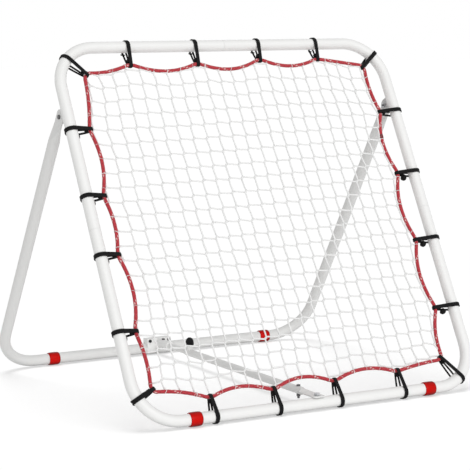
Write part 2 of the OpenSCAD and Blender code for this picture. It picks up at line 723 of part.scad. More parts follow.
frame_top_left();
frame_top_right();
frame_bottom_left();
frame_bottom_right();
bottom_tube();
front_foot_left();
front_foot_right();
pivot_lug_left();
pivot_lug_right();
pivot_bolt_left();
pivot_bolt_right();
pivot_nut_left();
pivot_nut_right();
pivot_washers();
front_bolt();
front_nut();
net();
edge_rope();
rope_splice();
ties_top();
ties_bottom();
ties_left();
ties_right();
ties_corner();
leg_left();
leg_right();
rear_tube();
rear_foot_left();
rear_foot_right();
clamp_front();
clamp_rear();
clamp_screws();
clamp_nuts();
inner_tube();
socket_screw();
socket_nut();
outer_tube();
knob_boss();
brace_tongue();
plug_bolt();
plug_nut();
clamp_knob();
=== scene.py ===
import bpy
import bmesh
import json
import math
import random
from mathutils import Matrix, Vector


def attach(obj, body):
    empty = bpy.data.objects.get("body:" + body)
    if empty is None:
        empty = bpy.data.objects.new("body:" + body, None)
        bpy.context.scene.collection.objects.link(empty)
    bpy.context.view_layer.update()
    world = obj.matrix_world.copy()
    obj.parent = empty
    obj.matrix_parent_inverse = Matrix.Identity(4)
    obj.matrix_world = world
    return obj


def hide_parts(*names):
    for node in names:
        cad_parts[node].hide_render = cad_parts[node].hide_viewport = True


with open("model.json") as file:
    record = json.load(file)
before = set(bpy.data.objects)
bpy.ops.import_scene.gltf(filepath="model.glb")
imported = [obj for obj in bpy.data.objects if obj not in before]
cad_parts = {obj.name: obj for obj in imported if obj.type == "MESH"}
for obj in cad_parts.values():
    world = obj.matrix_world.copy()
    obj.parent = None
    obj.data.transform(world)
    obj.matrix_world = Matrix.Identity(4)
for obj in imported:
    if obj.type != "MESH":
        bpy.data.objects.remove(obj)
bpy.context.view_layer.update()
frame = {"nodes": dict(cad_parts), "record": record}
NODES = frame["nodes"]

# ---------------------------------------- sizes, in metres, as in part.scad
LEAN = math.radians(28.4)
STANCE = 0.882
AXIS_Z = 0.018                                  # height of the front and rear tubes' axes
FRONT_Y, REAR_Y = -STANCE / 2, STANCE / 2
TUBE_R = 0.015
SIDE_X, TOP_B = 0.485, 0.994                    # centre lines of the frame's sides and of its top
BEND_R = 0.110
LUG_B = 0.820                                   # height of the leg pivots up the lean
GRIP = 0.007                                    # half of the rope's straight run inside each tie
SIDE_TIES = 4
SPANS = SIDE_TIES + 1
# ties of each side from left to right or bottom to top, in millimetres: shift from even spacing,
# and distance from the tube's centre line to the rope
NUDGE = {"top": (10, 11, 6, -9), "bottom": (4, -14, -31, -34),
         "left": (33, 32, -11, -29), "right": (14, 8, 4, -12)}
REACH = {"top": (51, 52, 44, 46), "bottom": (49, 49, 51, 56),
         "left": (44, 46, 45, 50), "right": (57, 55, 51, 50)}
# sag of the rope's spans, as a share of their length
SAG = {"top": (0.06, 0.107, 0.121, 0.115, 0), "bottom": (0.048, 0.104, 0.125, 0.104, 0.02),
       "left": (0.054, 0.096, 0.073, 0.085, 0.03), "right": (0.077, 0.102, 0.107, 0.112, 0.057)}
# corner ties, clockwise from the upper left: reach in millimetres, turn from the diagonal in degrees
CORNER_REACH = (61, 50, 68, 46)
CORNER_TURN = (2, -6, -11, -21)

# ---------------------------------------- sizes read from the photograph for the looks
ROPE_R = 0.0048
# the rope's strands each way, how often per metre they cross a line along it, and their relief
BRAID_STRANDS, BRAID_RATE, BRAID_RELIEF = 4, 70, 0.045
CORD_R = 0.0022
LOOP_R = 0.0008                                 # the net's last loops, which sink into the rope


def in_frame(x, b, n=0.0):
    """A point of the net frame: x across, b up the lean, n behind the net."""
    y = FRONT_Y + b * math.sin(LEAN) + n * math.cos(LEAN)
    return Vector((x, y, AXIS_Z + b * math.cos(LEAN) - n * math.sin(LEAN)))


NORMAL = Vector((0, math.cos(LEAN), -math.sin(LEAN)))   # the way behind the net


# ---------------------------------------- camera, fitted to the photograph
YAW, PITCH, ROLL = math.radians(29.1334), math.radians(6.917), math.radians(-0.4738)
CAMERA_AT = (-2.2561, -4.0799, 0.9569)
SENSOR, FOCAL_PX, PHOTO_PX = 36, 1763.9, 470


def add_camera():
    forward = Vector((math.sin(YAW) * math.cos(PITCH), math.cos(YAW) * math.cos(PITCH), -math.sin(PITCH)))
    right = Vector((math.cos(YAW), -math.sin(YAW), 0))
    up = right.cross(forward)
    across = right * math.cos(ROLL) + up * math.sin(ROLL)
    above = up * math.cos(ROLL) - right * math.sin(ROLL)
    data = bpy.data.cameras.new("photo_camera")
    data.sensor_fit = "HORIZONTAL"
    data.sensor_width = SENSOR
    data.lens = SENSOR * FOCAL_PX / PHOTO_PX
    data.clip_end = 60
    camera = bpy.data.objects.new("photo_camera", data)
    bpy.context.scene.collection.objects.link(camera)
    axes = Matrix((across, above, -forward)).transposed().to_4x4()
    camera.matrix_world = Matrix.Translation(CAMERA_AT) @ axes
    bpy.context.scene.camera = camera


add_camera()


# ---------------------------------------- shader nodes
def new_material(name):
    mat = bpy.data.materials.new(name)
    mat.use_nodes = True
    tree = mat.node_tree
    return mat, tree, tree.nodes["Principled BSDF"]


def add(tree, kind, **values):
    """A shader node with its inputs set by name."""
    node = tree.nodes.new(kind)
    for key, value in values.items():
        node.inputs[key].default_value = value
    return node


def noise(tree, scale, detail=3.0, rough=0.5, stretch=None):
    """Noise from 0 to 1 in cycles per metre; stretch scales it along each axis."""
    coords = tree.nodes.new("ShaderNodeTexCoord").outputs["Object"]
    if stretch:
        mapping = add(tree, "ShaderNodeMapping", Scale=stretch)
        tree.links.new(coords, mapping.inputs["Vector"])
        coords = mapping.outputs["Vector"]
    texture = add(tree, "ShaderNodeTexNoise", Scale=scale, Detail=detail, Roughness=rough)
    tree.links.new(coords, texture.inputs["Vector"])
    return texture.outputs["Fac"]


def ramp(tree, value, stops):
    """Grey level between two stops of (position, level)."""
    node = tree.nodes.new("ShaderNodeValToRGB")
    for element, (position, level) in zip(node.color_ramp.elements, stops):
        element.position = position
        element.color = (level, level, level, 1)
    tree.links.new(value, node.inputs["Fac"])
    return node.outputs["Color"]


def mix(tree, share, low, high):
    """Colour between low and high, each of them a colour or a socket."""
    node = tree.nodes.new("ShaderNodeMix")
    node.data_type = "RGBA"
    tree.links.new(share, node.inputs[0])
    for socket, value in ((node.inputs[6], low), (node.inputs[7], high)):
        if isinstance(value, tuple):
            socket.default_value = (*value, 1)
        else:
            tree.links.new(value, socket)
    return node.outputs[2]


def maths(tree, operation, first, second=None):
    """A maths node on a socket and a second socket, a number or nothing."""
    node = tree.nodes.new("ShaderNodeMath")
    node.operation = operation
    tree.links.new(first, node.inputs[0])
    if isinstance(second, (int, float)):
        node.inputs[1].default_value = second
    elif second is not None:
        tree.links.new(second, node.inputs[1])
    return node.outputs[0]


def bump(tree, shader, height, distance, strength):
    node = add(tree, "ShaderNodeBump", Distance=distance, Strength=strength)
    tree.links.new(height, node.inputs["Height"])
    tree.links.new(node.outputs["Normal"], shader.inputs["Normal"])


def uv_stripes(tree, turns, per_metre, offset=0.0):
    """Wave from 0 to 1 that runs round a cord; UV is (metres along, turns round)."""
    coords = tree.nodes.new("ShaderNodeTexCoord")
    parts = tree.nodes.new("ShaderNodeSeparateXYZ")
    tree.links.new(coords.outputs["UV"], parts.inputs[0])
    along = maths(tree, "MULTIPLY", parts.outputs[0], per_metre * math.tau)
    around = maths(tree, "MULTIPLY", parts.outputs[1], turns * math.tau)
    wave = maths(tree, "SINE", maths(tree, "ADD", maths(tree, "ADD", along, around), offset))
    return maths(tree, "ADD", maths(tree, "MULTIPLY", wave, 0.5), 0.5)


def weave_of(tree, strands, per_metre):
    """Crossing stripes of a braid, and the stripes that run one way alone."""
    one_way = uv_stripes(tree, strands, per_metre)
    other_way = uv_stripes(tree, -strands, per_metre)
    return maths(tree, "MAXIMUM", one_way, other_way), other_way


# ---------------------------------------- materials
def powder_white(name, tone, rough):
    """White powder coat: orange peel, faint clouding and scuffs that show a greyer undertone."""
    mat, tree, shader = new_material(name)
    cloud = noise(tree, 9, 4)
    scuff = noise(tree, 55, 6, 0.7, (1, 1, 0.35))
    marks = ramp(tree, scuff, ((0.66, 0.0), (0.74, 1.0)))
    clean = mix(tree, cloud, tuple(c * 0.97 for c in tone), tuple(c * 1.02 for c in tone))
    worn = mix(tree, maths(tree, "MULTIPLY", marks, 0.22), clean, tuple(c * 0.72 for c in tone))
    tree.links.new(worn, shader.inputs["Base Color"])
    tree.links.new(ramp(tree, scuff, ((0.3, rough), (0.8, rough + 0.16))), shader.inputs["Roughness"])
    shader.inputs["Specular IOR Level"].default_value = 0.45
    bump(tree, shader, noise(tree, 520, 2, 0.5), 0.00025, 0.35)
    return mat


def ring_red():
    """Moulded red plastic with painted shade where it is seen at a slant, and fine scratches along the tube.
    """
    mat, tree, shader = new_material("ring_red")
    cloud = noise(tree, 40, 4)
    face_on = mix(tree, cloud, (0.52, 0.003, 0.001), (0.60, 0.004, 0.002))
    slant = tree.nodes.new("ShaderNodeLayerWeight").outputs["Facing"]
    # painted shade: the red darkens towards the edges seen at a slant
    plastic = mix(tree, ramp(tree, slant, ((0.10, 0.0), (0.75, 1.0))), face_on, (0.20, 0.002, 0.001))
    scratches = ramp(tree, noise(tree, 260, 5, 0.7, (0.15, 1, 1)), ((0.62, 0.0), (0.72, 1.0)))
    worn = mix(tree, maths(tree, "MULTIPLY", scratches, 0.25), plastic, (0.36, 0.010, 0.008))
    tree.links.new(worn, shader.inputs["Base Color"])
    tree.links.new(ramp(tree, cloud, ((0.2, 0.24), (0.8, 0.36))), shader.inputs["Roughness"])
    shader.inputs["Specular IOR Level"].default_value = 0.09
    bump(tree, shader, noise(tree, 380, 2), 0.0003, 0.3)
    return mat


def steel(name, tone, rough):
    """Plain steel with fine grain."""
    mat, tree, shader = new_material(name)
    grain = noise(tree, 300, 5, 0.6)
    tree.links.new(mix(tree, grain, tuple(c * 0.82 for c in tone), tone), shader.inputs["Base Color"])
    tree.links.new(ramp(tree, grain, ((0.25, rough * 0.8), (0.75, rough * 1.25))), shader.inputs["Roughness"])
    shader.inputs["Metallic"].default_value = 1.0
    bump(tree, shader, noise(tree, 900, 3, 0.6, (1, 1, 0.2)), 0.0002, 0.3)
    return mat


def knob_black():
    """Dull black moulding."""
    mat, tree, shader = new_material("knob_black")
    cloud = noise(tree, 160, 4)
    black = mix(tree, cloud, (0.004, 0.004, 0.0045), (0.013, 0.013, 0.014))
    tree.links.new(black, shader.inputs["Base Color"])
    tree.links.new(ramp(tree, cloud, ((0.2, 0.34), (0.8, 0.50))), shader.inputs["Roughness"])
    shader.inputs["Specular IOR Level"].default_value = 0.08
    bump(tree, shader, noise(tree, 1400, 2), 0.0003, 0.5)
    return mat


def cord_white():
    """Twisted net cord, off-white, with painted shade in the grooves between its plies."""
    mat, tree, shader = new_material("cord_white")
    twist = uv_stripes(tree, 3, 330)
    fuzz = noise(tree, 700, 4, 0.7)
    # painted shade: the colour darkens in the grooves between the plies
    plies = mix(tree, twist, (0.78, 0.78, 0.775), (0.93, 0.93, 0.925))
    fuzzy = mix(tree, maths(tree, "MULTIPLY", fuzz, 0.3), plies, (0.74, 0.74, 0.735))
    tree.links.new(fuzzy, shader.inputs["Base Color"])
    shader.inputs["Roughness"].default_value = 0.85
    shader.inputs["Sheen Weight"].default_value = 0.25
    relief = maths(tree, "ADD", maths(tree, "MULTIPLY", twist, 0.8), maths(tree, "MULTIPLY", fuzz, 0.3))
    bump(tree, shader, relief, 0.0006, 0.8)
    return mat


def rope_red():
    """Braided red rope: crossing strands with painted shade between them, a few of them with a pale fleck."""
    mat, tree, shader = new_material("rope_red")
    weave, one_way = weave_of(tree, BRAID_STRANDS, BRAID_RATE)
    tracer = ramp(tree, uv_stripes(tree, 1, BRAID_RATE / 4, 0.6), ((0.93, 0.0), (0.97, 1.0)))
    fleck = maths(tree, "MULTIPLY", tracer, ramp(tree, one_way, ((0.35, 0.0), (0.55, 1.0))))
    fibre = noise(tree, 900, 5, 0.7)
    # painted shade: the red darkens in the gaps between the crossing strands
    strands = mix(tree, weave, (0.20, 0.003, 0.009), (0.48, 0.010, 0.024))
    fuzzy = mix(tree, maths(tree, "MULTIPLY", fibre, 0.35), strands, (0.46, 0.045, 0.055))
    flecked = mix(tree, maths(tree, "MULTIPLY", fleck, 0.8), fuzzy, (0.72, 0.50, 0.48))
    tree.links.new(flecked, shader.inputs["Base Color"])
    shader.inputs["Roughness"].default_value = 0.72
    shader.inputs["Sheen Weight"].default_value = 0.3
    bump(tree, shader, maths(tree, "ADD", weave, maths(tree, "MULTIPLY", fibre, 0.25)), 0.0007, 0.7)
    return mat


def elastic_black():
    """Black elastic cord with its braided cover, and painted shade between the cover's strands."""
    mat, tree, shader = new_material("elastic_black")
    weave, _ = weave_of(tree, 6, 260)
    fibre = noise(tree, 1500, 3, 0.6)
    # painted shade: the black darkens further in the gaps between the cover's strands
    strands = mix(tree, weave, (0.002, 0.002, 0.002), (0.010, 0.010, 0.0105))
    fuzzy = mix(tree, maths(tree, "MULTIPLY", fibre, 0.3), strands, (0.018, 0.018, 0.0185))
    tree.links.new(fuzzy, shader.inputs["Base Color"])
    shader.inputs["Roughness"].default_value = 0.70
    shader.inputs["Specular IOR Level"].default_value = 0.10
    bump(tree, shader, weave, 0.0004, 0.7)
    return mat


def sleeve_dark():
    """Dark red shrunk sleeve over the rope's joint."""
    mat, tree, shader = new_material("sleeve_dark")
    cloud = noise(tree, 220, 4)
    tree.links.new(mix(tree, cloud, (0.10, 0.004, 0.006), (0.16, 0.010, 0.012)), shader.inputs["Base Color"])
    tree.links.new(ramp(tree, cloud, ((0.2, 0.3), (0.8, 0.5))), shader.inputs["Roughness"])
    bump(tree, shader, cloud, 0.0006, 0.6)
    return mat


M_WHITE = powder_white("powder_white", (0.80, 0.80, 0.79), 0.34)
# painted shade: a greyer copy of the white powder coat for the legs and rear tube
M_LEG_SHADED = powder_white("leg_painted_shade", (0.71, 0.71, 0.70), 0.38)
# painted shade: a greyer copy of the white powder coat for the brace
M_BRACE_SHADED = powder_white("brace_painted_shade", (0.74, 0.74, 0.73), 0.40)
# painted light: a lighter copy of the white powder coat for the clamps
M_CLAMP_LIT = powder_white("clamp_painted_light", (0.83, 0.83, 0.82), 0.44)
# painted shade: a grey copy of the white powder coat for the lugs
M_LUG_SHADED = powder_white("lug_painted_shade", (0.52, 0.52, 0.515), 0.42)
M_RED = ring_red()
M_DARK = steel("black_oxide", (0.045, 0.045, 0.048), 0.42)
# a darker steel than the zinc, with the same fine grain
M_BOLT = steel("dark_bolt_steel", (0.16, 0.16, 0.165), 0.45)
M_ZINC = steel("zinc", (0.60, 0.61, 0.63), 0.30)
M_KNOB = knob_black()
M_NET = cord_white()
M_ROPE = rope_red()
M_TIE = elastic_black()
M_SLEEVE = sleeve_dark()

FINISH = {"white_paint": M_WHITE, "red_ring": M_RED, "zinc_steel": M_ZINC, "dark_steel": M_DARK,
          "black_plastic": M_KNOB, "black_elastic": M_TIE, "red_rope": M_ROPE,
          "dark_sleeve": M_SLEEVE, "net_cord": M_NET}
# nodes in another tone than their slot's own: the greyer whites of the legs, rear tube, brace and lugs are
# painted shade, the lighter white of the clamps is painted light; the bolts take other steels
TONES = ((M_BRACE_SHADED, ("inner_tube", "outer_tube", "knob_boss", "brace_tongue")),
         (M_LEG_SHADED, ("leg_left", "leg_right", "rear_tube")),
         (M_CLAMP_LIT, ("clamp_front", "clamp_rear")),
         (M_BOLT, ("plug_bolt", "plug_nut", "pivot_bolt_left", "pivot_bolt_right")),
         (M_LUG_SHADED, ("pivot_lug_left", "pivot_lug_right")),
         (M_ZINC, ("front_bolt",)))
SWAPPED_TONE = {name: mat for mat, names in TONES for name in names}
SLOT = {part["node"]: part["material_slot"] for part in frame["record"]["subparts"]}
for name, piece in NODES.items():
    mat = SWAPPED_TONE.get(name, FINISH[SLOT[name]])
    if not piece.material_slots:
        piece.data.materials.append(mat)
    for slot in piece.material_slots:
        slot.material = mat


# ---------------------------------------- mesh helpers
class Sweep:
    """Collects swept forms into one mesh with UV."""

    def __init__(self):
        self.mesh = bmesh.new()
        self.uv = self.mesh.loops.layers.uv.new("UVMap")

    def skin(self, rows, closed, uv, smooth_to=None):
        """Faces between neighbouring rows of vertices; uv(row, place) gives the UV of a corner."""
        sides = len(rows[0])
        for i in range(len(rows) if closed else len(rows) - 1):
            here, there = rows[i], rows[(i + 1) % len(rows)]
            for k in range(sides):
                after = (k + 1) % sides
                face = self.mesh.faces.new((here[k], here[after], there[after], there[k]))
                face.smooth = smooth_to is None or k < smooth_to
                corners = ((i, k), (i, k + 1), (i + 1, k + 1), (i + 1, k))
                for loop, (row, place) in zip(face.loops, corners):
                    loop[self.uv].uv = uv(row, place)

    def tube(self, pts, radius, sides=8, closed=False, flat=1.0, normals=None, shape=None):
        """Sweeps a section along pts; its UV is (metres along, turns round).

        radius is a number or a function of the share of the way. flat squeezes the section along
        normals, which has one for each point. shape(metres along, angle) scales the radius.
        """
        count = len(pts)
        length = [0.0]
        for i in range(count if closed else count - 1):
            length.append(length[-1] + (pts[(i + 1) % count] - pts[i]).length)
        rows, side = [], None
        for i, at in enumerate(pts):
            before = pts[i - 1] if closed or i > 0 else at
            after = pts[(i + 1) % count] if closed or i < count - 1 else at
            along = (after - before).normalized()
            if normals:
                side = normals[i]
            elif side is None:
                side = Vector((0, 0, 1)) if abs(along.z) < 0.9 else Vector((1, 0, 0))
            side = (side - along * side.dot(along)).normalized()
            across = along.cross(side)
            size = radius(i / (count - 1)) if callable(radius) else radius
            row = []
            for k in range(sides):
                angle = math.tau * k / sides
                swell = shape(length[i], angle) if shape else 1.0
                out = across * math.cos(angle) + side * math.sin(angle) * flat
                row.append(self.mesh.verts.new(at + out * size * swell))
            rows.append(row)
        self.skin(rows, closed, lambda row, place: (length[row], place / sides))
        if not closed:
            for cap in (rows[0][::-1], rows[-1]):
                self.mesh.faces.new(cap).smooth = True

    def done(self, name, mat, body, *nodes, slot):
        """Makes the object, lets it ride on its body and puts it in the place of nodes."""
        bmesh.ops.recalc_face_normals(self.mesh, faces=self.mesh.faces)
        data = bpy.data.meshes.new(name)
        self.mesh.to_mesh(data)
        self.mesh.free()
        data.materials.append(mat)
        ob = bpy.data.objects.new(name, data)
        bpy.context.scene.collection.objects.link(ob)
        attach(ob, body)
        if nodes:
            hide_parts(*nodes)
        return ob


def circle(count, place):
    """Points of a closed turn; place(angle) gives each."""
    return [place(math.tau * s / count) for s in range(count)]


def node_span(name):
    """Lowest and highest corner of a CAD node."""
    at = [NODES[name].matrix_world @ v.co for v in NODES[name].data.vertices]
    low, high = ([pick(v[i] for v in at) for i in range(3)] for pick in (min, max))
    return Vector(low), Vector(high)


# ---------------------------------------- rope route
# each side's way inward and the rope's run along it, clockwise
SIDES = {"top": ((0, -1), (1, 0)), "right": ((-1, 0), (0, -1)),
         "bottom": ((0, 1), (-1, 0)), "left": ((1, 0), (0, 1))}
TOP, RIGHT, BOTTOM, LEFT = range(4)
BEND_AT = ((-SIDE_X + BEND_R, TOP_B - BEND_R), (SIDE_X - BEND_R, TOP_B - BEND_R),
           (SIDE_X - BEND_R, BEND_R), (-SIDE_X + BEND_R, BEND_R))
SPAN_SAG = SAG["top"] + SAG["right"][::-1] + SAG["bottom"][::-1] + SAG["left"]


def corner_knot(corner):
    """Knot, run of the rope, point on the tube's centre line and node of a corner's tie."""
    angle = math.radians(135 - 90 * corner + CORNER_TURN[corner])
    way = Vector((math.cos(angle), math.sin(angle)))
    centre = Vector(BEND_AT[corner])
    knot = centre + way * (BEND_R - CORNER_REACH[corner] / 1000)
    return knot, Vector((way.y, -way.x)), centre + way * BEND_R, "ties_corner"


def side_knot(key, i):
    """The same of tie i of a side, counted from the left or from below."""
    inward, run = SIDES[key]
    if key in ("top", "bottom"):
        x = -SIDE_X + 2 * SIDE_X * (i + 1) / SPANS + NUDGE[key][i] / 1000
        tube = Vector((x, TOP_B if key == "top" else 0))
    else:
        b = TOP_B * (i + 1) / SPANS + NUDGE[key][i] / 1000
        tube = Vector((-SIDE_X if key == "left" else SIDE_X, b))
    return tube + Vector(inward) * (REACH[key][i] / 1000), Vector(run), tube, "ties_" + key


KNOTS = []                                      # clockwise from the upper left corner
for corner, key in enumerate(SIDES):
    KNOTS.append(corner_knot(corner))
    order = range(SIDE_TIES) if key in ("top", "left") else reversed(range(SIDE_TIES))
    KNOTS.extend(side_knot(key, i) for i in order)


def rope_route(step):
    """Centre line of the rope in the frame's plane, scalloped between its knots."""
    out = []
    for i, (knot, run, _, _) in enumerate(KNOTS):
        next_knot, next_run, _, _ = KNOTS[(i + 1) % len(KNOTS)]
        start, end = knot + run * GRIP, next_knot - next_run * GRIP
        way = end - start
        steps = max(8, round(way.length / step))
        for j in range(steps + 1):
            t = j / steps
            out.append(start + way * t + Vector((way.y, -way.x)) * SPAN_SAG[i] * 4 * t * (1 - t))
    return out


def smooth_route(pts, rounds):
    for _ in range(rounds):
        pts = [(pts[i - 1] + pts[i] * 2 + pts[(i + 1) % len(pts)]) / 4 for i in range(len(pts))]
    return pts


def braid(along, angle):
    """Relief of the rope's crossing strands."""
    turned, phase = BRAID_STRANDS * angle, math.tau * BRAID_RATE * along
    return 1 + BRAID_RELIEF * max(math.cos(turned + phase), math.cos(turned - phase))


ROPE_STEP = 0.0035
ROUTE = [in_frame(p.x, p.y) for p in smooth_route(rope_route(ROPE_STEP), 2)]
rope = Sweep()
rope.tube(ROUTE, ROPE_R * 0.97, sides=16, closed=True, shape=braid)
rope.done("edge_rope_braided", M_ROPE, "net_frame", "edge_rope", slot="red_rope")


# ---------------------------------------- net: its knots in the frame's plane
rng = random.Random(7)
RIM = rope_route(0.012)                         # a coarser outline, enough to cut the net
# the mesh in millimetres: its pitch, the place of knot (0, 0), and the lines about which it skews and warps
MESH_X, MESH_B = 38.0, 39.25
KNOT_X, KNOT_B = -5.0, 574.5
SKEW_X, SKEW_B = 0.03, 0.02
LEVEL_B, UPRIGHT_X = 560, -110
WARP_HALF, WARP_MIDDLE = 400, 500
COLUMNS, ROWS = range(-12, 13), range(-14, 11)
SCATTER = 0.0007                                # of each knot
# the rope's distance from the tube's centre line at the top, right, bottom and left: where the mesh
# starts to fade from the scallops, and the mean
FADE_FROM = (0.062, 0.064, 0.062, 0.060)
RIM_MEAN = (0.060, 0.065, 0.063, 0.059)
FOLLOW, FADE = 0.8, 0.080                       # share of a scallop that the mesh follows, and how far in


def inside(p):
    """Whether the rope's outline goes round p."""
    hit = False
    for i, b in enumerate(RIM):
        a = RIM[i - 1]
        if (a.y > p.y) != (b.y > p.y) and p.x < (b.x - a.x) * (p.y - a.y) / (b.y - a.y) + a.x:
            hit = not hit
    return hit


def crossing(p, q):
    """Share of the stretch p-q at which it meets the rope's outline, and the rope's direction there."""
    best = None
    d = q - p
    for i, b in enumerate(RIM):
        a = RIM[i - 1]
        e = b - a
        cross = d.x * e.y - d.y * e.x
        if abs(cross) < 1e-12:
            continue
        w = a - p
        t = (w.x * e.y - w.y * e.x) / cross
        s = (w.x * d.y - w.y * d.x) / cross
        if 0 <= t <= 1 and 0 <= s <= 1 and (best is None or t < best[0]):
            best = (t, e.normalized())
    return best


def scallop(side, at):
    """The rope's distance from the tube's centre line beside a place along one side."""
    places = []
    for i in range(SPANS + 1):
        knot = KNOTS[(SPANS * side + i) % len(KNOTS)][0]
        along = knot.x if side in (TOP, BOTTOM) else knot.y
        places.append((along, (TOP_B - knot.y, SIDE_X - knot.x, knot.y, SIDE_X + knot.x)[side]))
    sags = SPAN_SAG[SPANS * side:SPANS * (side + 1)]
    for (start, near), (end, far), sag in zip(places, places[1:], sags):
        if min(start, end) <= at <= max(start, end):
            t = (at - start) / (end - start)
            return near + (far - near) * t + sag * abs(end - start) * 4 * t * (1 - t)
    return None


def drawn(side, at, from_tube):
    """How far the rope's scallops draw the net in from one side, at a distance from the tube."""
    gap = scallop(side, at)
    if gap is None:
        return 0.0
    return FOLLOW * (gap - RIM_MEAN[side]) * math.exp(-max(from_tube - FADE_FROM[side], 0.0) / FADE)


def warp(u, v):
    """Drift of the hanging mesh from its grid, in millimetres, at u across and v up from -1 to 1."""
    x = 3 * v ** 2 + 5 * v ** 3 - 4 * v ** 4 + u * v * (4 - 10 * u - 8 * v ** 2)
    b = 2 * u + 4 * u ** 2 - 3 * u ** 4 + 2 * v ** 3
    b += u * v * (7 - 5 * v - 6 * v ** 2 - 4 * u - 3 * u * v - 5 * u ** 2)
    return x, b


def limited(value):
    return max(-1.0, min(1.0, value))


def mesh_point(i, j):
    """Knot (i, j): the grid, skewed and warped, with the rope's scallops and a little scatter."""
    grid_x, grid_b = KNOT_X + MESH_X * i, KNOT_B + MESH_B * j
    x, b = grid_x + SKEW_X * (grid_b - LEVEL_B), grid_b + SKEW_B * (grid_x - UPRIGHT_X)
    drift_x, drift_b = warp(limited(x / WARP_HALF), limited((b - WARP_MIDDLE) / WARP_HALF))
    x, b = x / 1000, b / 1000
    drift_x = drift_x / 1000 + drawn(LEFT, b, x + SIDE_X) - drawn(RIGHT, b, SIDE_X - x)
    drift_b = drift_b / 1000 - drawn(TOP, x, TOP_B - b) + drawn(BOTTOM, x, b)
    return Vector((x + drift_x + rng.gauss(0, SCATTER), b + drift_b + rng.gauss(0, SCATTER)))


GRID = {(i, j): mesh_point(i, j) for i in COLUMNS for j in ROWS}
IN = {key: inside(p) for key, p in GRID.items()}

# ---------------------------------------- net: its cords, knots and last loops
BELLY = 0.002                                   # the net's middle behind the rope's plane
FLANK_X, FLANK_B, SLIP = 0.0026, 0.0029, 0.0008  # where a side leaves its knot
OVER, UNDER = 0.0009, 0.0004                    # a knot's ends and its middle out of the net's plane
SLACK, WANDER = 0.03, 0.0005                    # of a side: share of its length in the plane, and out of it
SHORTEST = 0.007                                # stretch of cord between the last knot and the rope
LAST_LEAN = 0.006                               # how far a last loop's turn runs along the rope
net = Sweep()
ends = []                                       # place on the rope and its direction there


def net_place(p, n=0.0):
    """A point of the net; n is added behind it."""
    u, v = p.x / SIDE_X, 2 * p.y / TOP_B - 1
    return in_frame(p.x, p.y, BELLY * max(0.0, (1 - u * u)) * max(0.0, (1 - v * v)) + n)


def strand(p, q, steps=4):
    """One mesh side: a slack cord from p to q."""
    d = q - p
    side = Vector((-d.y, d.x)) * rng.uniform(-SLACK, SLACK)
    pts = []
    for s in range(steps + 1):
        t = s / steps
        belly = 4 * t * (1 - t)
        pts.append(net_place(p + d * t + side * belly, WANDER * belly * rng.uniform(-1, 1)))
    net.tube(pts, CORD_R * rng.uniform(0.92, 1.06), sides=6)


def last_strand(p, q, flank):
    """The cord from knot p towards q outside the rope, as far as the rope."""
    hit = crossing(p, q)
    if not hit:
        return
    end = p + (q - p) * hit[0]
    inward = (p - end).normalized()
    if (p - end).length > SHORTEST:
        strand(p + flank, end + inward * ROPE_R * 1.2, 3)
    ends.append((end, hit[1]))


def sheet_bend(p):
    """A knot: a short lump along the diagonal, over and under the two cords."""
    size = rng.uniform(0.85, 1.1)
    low, high = Vector((-FLANK_X, -FLANK_B)) * size, Vector((FLANK_X, FLANK_B)) * size
    route = ((low, OVER), (low * 0.4, -UNDER), (high * 0.4, UNDER), (high, -OVER))
    net.tube([net_place(p + offset, n) for offset, n in route],
             lambda t: CORD_R * (1.0 + 0.45 * math.sin(math.pi * t)), sides=6)


def last_loop(end, run):
    """The end of a cord, looped over the rope; most loops sink into it."""
    centre = in_frame(end.x, end.y)
    along = (in_frame(end.x + run.x, end.y + run.y) - centre).normalized()
    across = along.cross(NORMAL)
    lean = rng.uniform(-0.5, 0.5) * LAST_LEAN
    radius = LOOP_R * (1.0 if rng.random() < 0.4 else 0.5)
    reach = ROPE_R + LOOP_R * 0.2
    net.tube(circle(14, lambda a: centre + (across * math.cos(a) + NORMAL * math.sin(a)) * reach
                    + along * (lean * math.cos(a))), radius, sides=6, closed=True)


for (i, j), p in GRID.items():
    for key, flank in (((i + 1, j), Vector((SLIP, FLANK_B))), ((i, j + 1), Vector((FLANK_X, SLIP)))):
        if key not in GRID:
            continue
        q = GRID[key]
        # each side leaves its knot on one flank and meets the next one on the other
        if IN[i, j] and IN[key]:
            strand(p + flank, q - flank)
        elif IN[i, j]:
            last_strand(p, q, flank)
        elif IN[key]:
            last_strand(q, p, -flank)
    if IN[i, j]:
        sheet_bend(p)
for end, run in ends:
    last_loop(end, run)
net.done("net_knotted", M_NET, "net_frame", "net", slot="net_cord")


# ---------------------------------------- elastic ties
ELASTIC_W, ELASTIC_T = 0.0029, 0.0014           # half width and half thickness of the flat cord
TUBE_GAP, ROPE_GAP = 0.0004, 0.0006
STRAND_Z = 0.0027                               # the two strands, each side of the middle
SPREAD = 0.0055                                 # and how far they part behind the tube
TURN_STEPS, TURN_R = 16, 0.0023                 # the hitch's turns and their cord
HITCH_GAP, HITCH_APART = 0.0058, 0.0022         # the hitch from the rope, and each turn from its middle
HITCH_HALF_Y, HITCH_HALF_Z = 0.0046, 0.0052
SLANT = 0.0008                                  # of each turn
ROPE_TURN_R, ROPE_TURN_CORD = ROPE_R + 0.0018, 0.0020
TAIL_Y = 0.0085                                 # where the knotted end starts, behind the tube's axis
# knotted end beside the tube: the side it hangs to, its length, its radius and its distance from the tube
TAILS = {"ties_left": (-1, 0.015, 0.0034, 0.0035), "ties_right": (1, 0.013, 0.0092, 0.0150),
         "ties_top": (-1, 0.010, 0.0024, 0.0035)}
BARE_TIE = 6                                    # the uppermost tie of the right side shows no knotted end


